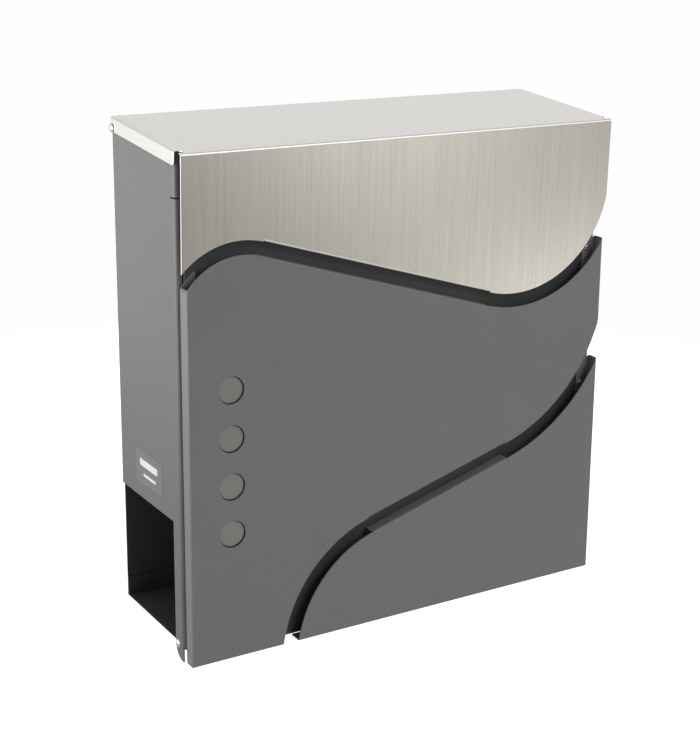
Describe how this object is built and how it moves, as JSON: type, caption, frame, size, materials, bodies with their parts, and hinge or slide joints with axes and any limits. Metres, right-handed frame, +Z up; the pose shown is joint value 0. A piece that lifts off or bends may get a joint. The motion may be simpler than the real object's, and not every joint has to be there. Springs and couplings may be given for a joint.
{
  "type": "wall mounted mailbox",
  "caption": "Wall mounted sheet metal mailbox with a hinged steel lid, a fold-down locking front door with wavy panels and an open newspaper compartment below.",
  "frame": {"origin": "on the wall plane, in the middle of the four fixing holes", "axes": "+X to the viewer's right, +Y into the wall, +Z up"},
  "size_m": [0.377, 0.1236, 0.3895],
  "materials": {
    "body_paint": "grey powder coat, fine orange peel, satin",
    "panel_paint": "grey powder coat, fine orange peel, satin",
    "lid_steel": "stainless steel, fine brushed grain from rear to front on the top and up and down on the flap",
    "rivet_aluminium": "plain set rivet, slightly burnished",
    "accent_metal": "fine turned, matt grey",
    "zinc_steel": "zinc plated steel",
    "lock_chrome": "nickel plated die casting",
    "nylon_black": "black nylon"
  },
  "bodies": {
    "housing": {"back_panel": "body_paint", "left_side_wall": "body_paint", "right_side_wall": "body_paint", "floor_tray": "body_paint", "divider_shelf": "body_paint", "front_crossbar": "body_paint", "top_ledge": "body_paint", "lid_rivets": "rivet_aluminium", "lid_washers": "nylon_black", "door_rivets": "rivet_aluminium", "pivot_bushes": "nylon_black"},
    "door": {"door_pan": "body_paint", "middle_panel": "panel_paint", "lower_panel": "panel_paint", "panel_rivets": "rivet_aluminium", "accent_studs": "accent_metal", "stud_nuts": "zinc_steel", "lock_body": "lock_chrome", "lock_nut": "zinc_steel"},
    "lock": {"lock_plug": "lock_chrome", "lock_cam": "zinc_steel", "cam_screw": "zinc_steel"},
    "lid": {"lid_cover": "lid_steel"}
  },
  "joints": [
    {"name": "door_hinge", "type": "hinge", "parent": "housing", "child": "door", "pos_m": [0, -0.1022, -0.233], "axis": [1, 0, 0], "range_deg": [0, 100]},
    {"name": "lid_hinge", "type": "hinge", "parent": "housing", "child": "lid", "pos_m": [0, -0.0092, 0.1362], "axis": [-1, 0, 0], "range_deg": [0, 84]},
    {"name": "lock_turn", "type": "hinge", "parent": "door", "child": "lock", "pos_m": [0, -0.1116, 0.077], "axis": [0, -1, 0], "range_deg": [0, 90]}
  ]
}
